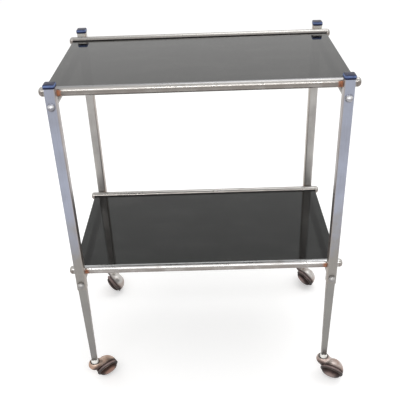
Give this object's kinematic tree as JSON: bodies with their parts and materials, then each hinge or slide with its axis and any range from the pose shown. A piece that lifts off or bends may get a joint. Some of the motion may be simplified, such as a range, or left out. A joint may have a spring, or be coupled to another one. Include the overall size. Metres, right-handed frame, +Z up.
{
  "type": "rolling side table",
  "caption": "Rolling side table with slim square legs, smoked glass shelves held in slotted round rails, and canted ball casters.",
  "frame": {"origin": "on the floor under the middle of the shelves", "axes": "+X to the right along the rails, +Y to the rear, +Z up; the front faces -Y"},
  "size_m": [0.6062, 0.4127, 0.737],
  "materials": {
    "leg": "satin plating, dulled with age",
    "foot_leg": "satin plating, dulled with age",
    "rail": "bright plating, worn, rusty at the legs",
    "plug": "bright plating, worn",
    "crossbar": "bright plating, worn",
    "nut": "bright plating",
    "cap": "gloss, very dark blue",
    "strip": "matte black",
    "glass": "polished, smoked grey-brown",
    "socket": "bright nickel",
    "steel": "plain turned steel",
    "hood": "bronze plating, worn",
    "dome": "bronze plating, worn",
    "disc": "dull pressed steel",
    "tyre": "black rubber, dusty"
  },
  "bodies": {
    "frame": {"front_left_upper_leg": "leg", "front_left_lower_leg": "foot_leg", "front_left_leg_cap": "cap", "front_left_caster_socket": "socket", "front_right_upper_leg": "leg", "front_right_lower_leg": "foot_leg", "front_right_leg_cap": "cap", "front_right_caster_socket": "socket", "rear_right_upper_leg": "leg", "rear_right_lower_leg": "foot_leg", "rear_right_leg_cap": "cap", "rear_right_caster_socket": "socket", "rear_left_upper_leg": "leg", "rear_left_lower_leg": "foot_leg", "rear_left_leg_cap": "cap", "rear_left_caster_socket": "socket", "upper_front_rail": "rail", "upper_front_glazing_strip": "strip", "upper_rear_rail": "rail", "upper_rear_glazing_strip": "strip", "upper_left_crossbar": "crossbar", "upper_right_crossbar": "crossbar", "upper_glass_shelf": "glass", "lower_front_rail": "rail", "lower_front_glazing_strip": "strip", "lower_rear_rail": "rail", "lower_rear_glazing_strip": "strip", "lower_left_crossbar": "crossbar", "lower_right_crossbar": "crossbar", "lower_glass_shelf": "glass", "rail_end_plugs": "plug", "tie_rods": "steel", "dome_nuts": "nut"},
    "front_left_caster": {"front_left_caster_stem": "steel", "front_left_caster_hood": "hood", "front_left_caster_axle": "steel"},
    "front_left_wheel": {"front_left_wheel_disc": "disc", "front_left_wheel_dome": "dome", "front_left_tyre": "tyre"},
    "front_right_caster": {"front_right_caster_stem": "steel", "front_right_caster_hood": "hood", "front_right_caster_axle": "steel"},
    "front_right_wheel": {"front_right_wheel_disc": "disc", "front_right_wheel_dome": "dome", "front_right_tyre": "tyre"},
    "rear_right_caster": {"rear_right_caster_stem": "steel", "rear_right_caster_hood": "hood", "rear_right_caster_axle": "steel"},
    "rear_right_wheel": {"rear_right_wheel_disc": "disc", "rear_right_wheel_dome": "dome", "rear_right_tyre": "tyre"},
    "rear_left_caster": {"rear_left_caster_stem": "steel", "rear_left_caster_hood": "hood", "rear_left_caster_axle": "steel"},
    "rear_left_wheel": {"rear_left_wheel_disc": "disc", "rear_left_wheel_dome": "dome", "rear_left_tyre": "tyre"}
  },
  "joints": [
    {"name": "front_left_swivel", "type": "hinge", "parent": "frame", "child": "front_left_caster", "pos_m": [-0.268, -0.177, 0.06], "axis": [0, 0, 1], "continuous": true},
    {"name": "front_left_wheel_spin", "type": "hinge", "parent": "front_left_caster", "child": "front_left_wheel", "pos_m": [-0.24384, -0.16731, 0.0257], "axis": [0.5486, -0.7021, -0.454], "continuous": true},
    {"name": "front_right_swivel", "type": "hinge", "parent": "frame", "child": "front_right_caster", "pos_m": [0.268, -0.177, 0.06], "axis": [0, 0, 1], "continuous": true},
    {"name": "front_right_wheel_spin", "type": "hinge", "parent": "front_right_caster", "child": "front_right_wheel", "pos_m": [0.28668, -0.19513, 0.0257], "axis": [-0.4183, -0.7867, -0.454], "continuous": true},
    {"name": "rear_right_swivel", "type": "hinge", "parent": "frame", "child": "rear_right_caster", "pos_m": [0.268, 0.177, 0.06], "axis": [0, 0, 1], "continuous": true},
    {"name": "rear_right_wheel_spin", "type": "hinge", "parent": "rear_right_caster", "child": "rear_right_wheel", "pos_m": [0.27598, 0.15223, 0.0257], "axis": [-0.7387, -0.4982, -0.454], "continuous": true},
    {"name": "rear_left_swivel", "type": "hinge", "parent": "frame", "child": "rear_left_caster", "pos_m": [-0.268, 0.177, 0.06], "axis": [0, 0, 1], "continuous": true},
    {"name": "rear_left_wheel_spin", "type": "hinge", "parent": "rear_left_caster", "child": "rear_left_wheel", "pos_m": [-0.26177, 0.15173, 0.0257], "axis": [-0.7716, -0.4455, -0.454], "continuous": true}
  ]
}
